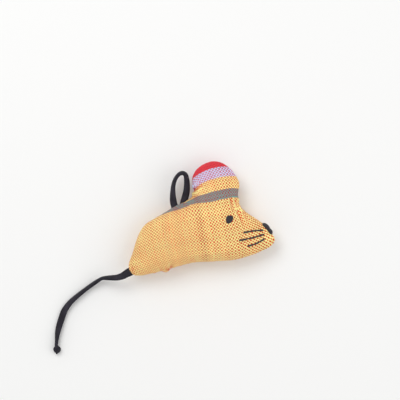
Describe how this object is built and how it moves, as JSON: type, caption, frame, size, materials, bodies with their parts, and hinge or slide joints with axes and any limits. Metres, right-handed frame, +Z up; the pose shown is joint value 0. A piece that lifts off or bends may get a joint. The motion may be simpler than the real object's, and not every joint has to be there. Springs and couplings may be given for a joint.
{
  "type": "fabric toy mouse",
  "caption": "Stuffed cloth mouse pet toy: flat drop-shaped body with one round ear, embroidered face, knotted strap tail and a strap hang loop.",
  "frame": {"origin": "On the ground under the middle of the sewn body, measured without the tail strap and its knot. The toy lies on its far side.", "axes": "X from rump to nose, Y from belly to ear, Z up through the toy's thickness. The picture looks straight down Z."},
  "size_m": [0.1135, 0.0983, 0.0198],
  "materials": {
    "cloth_near": "plain-woven cotton, yellow weft over orange warp, with woven stripes",
    "cloth_far": "plain-woven cotton, yellow weft over orange warp, with woven stripes",
    "stuffing": "loose polyester fibre",
    "strap": "matte black flat lace with rounded edges",
    "thread": "black embroidery thread, satin stitch"
  },
  "bodies": {
    "toy": {"near_panel": "cloth_near", "far_panel": "cloth_far", "body_stuffing": "stuffing", "head_stuffing": "stuffing", "ear_stuffing": "stuffing", "tail_sewn_end": "strap", "loop_sewn_end_front": "strap", "loop_sewn_end_rear": "strap", "near_eye": "thread", "far_eye": "thread", "near_whisker_upper": "thread", "near_whisker_middle": "thread", "near_whisker_lower": "thread", "far_whisker_upper": "thread", "far_whisker_middle": "thread", "far_whisker_lower": "thread", "nose_bar_upper": "thread", "nose_bar_lower": "thread"},
    "tail_strap": {"tail": "strap", "tail_knot": "strap"},
    "loop_strap": {"hang_loop": "strap"}
  },
  "joints": [
    {"name": "tail_swing", "type": "hinge", "parent": "toy", "child": "tail_strap", "pos_m": [-0.03765, -0.02777, 0.00965], "axis": [-0.4531, 0.8914, 0], "range_deg": [0, 85]},
    {"name": "loop_fold", "type": "hinge", "parent": "toy", "child": "loop_strap", "pos_m": [-0.01196, 0.00839, 0.00965], "axis": [0.9248, 0.3804, 0], "range_deg": [-34, 80], "stiffness_Nm_per_rad": 0.0004}
  ]
}
